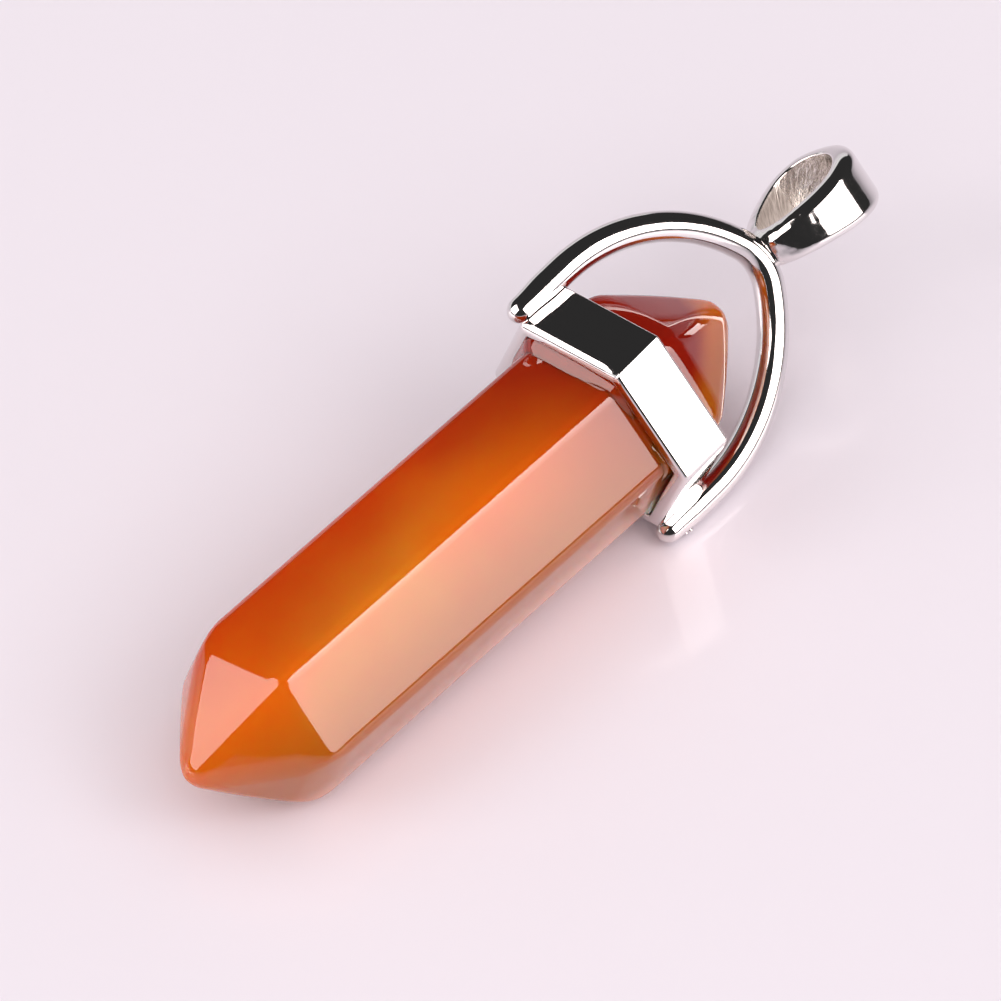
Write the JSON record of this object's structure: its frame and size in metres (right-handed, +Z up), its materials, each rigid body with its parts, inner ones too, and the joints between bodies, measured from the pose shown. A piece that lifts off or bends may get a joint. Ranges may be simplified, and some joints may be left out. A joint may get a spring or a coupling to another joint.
{
  "type": "crystal point pendant",
  "caption": "Polished hexagonal carnelian, pointed at both ends, glued in a cast silver-coloured collar with an arched yoke and a tapered oval bail for a chain.",
  "frame": {"origin": "on the surface that the pendant lies on, under the middle of its bounding box", "axes": "+X along the pendant from its lower point towards its bail, +Z up, as it lies at rest"},
  "size_m": [0.0411, 0.011, 0.0106],
  "materials": {
    "stone": "polished translucent carnelian, orange with paler cloudy bands",
    "setting": "bright silver-coloured plating on cast zinc alloy, unpolished inside the bail"
  },
  "bodies": {
    "root": {"stone": "stone", "setting": "setting"}
  },
  "joints": []
}
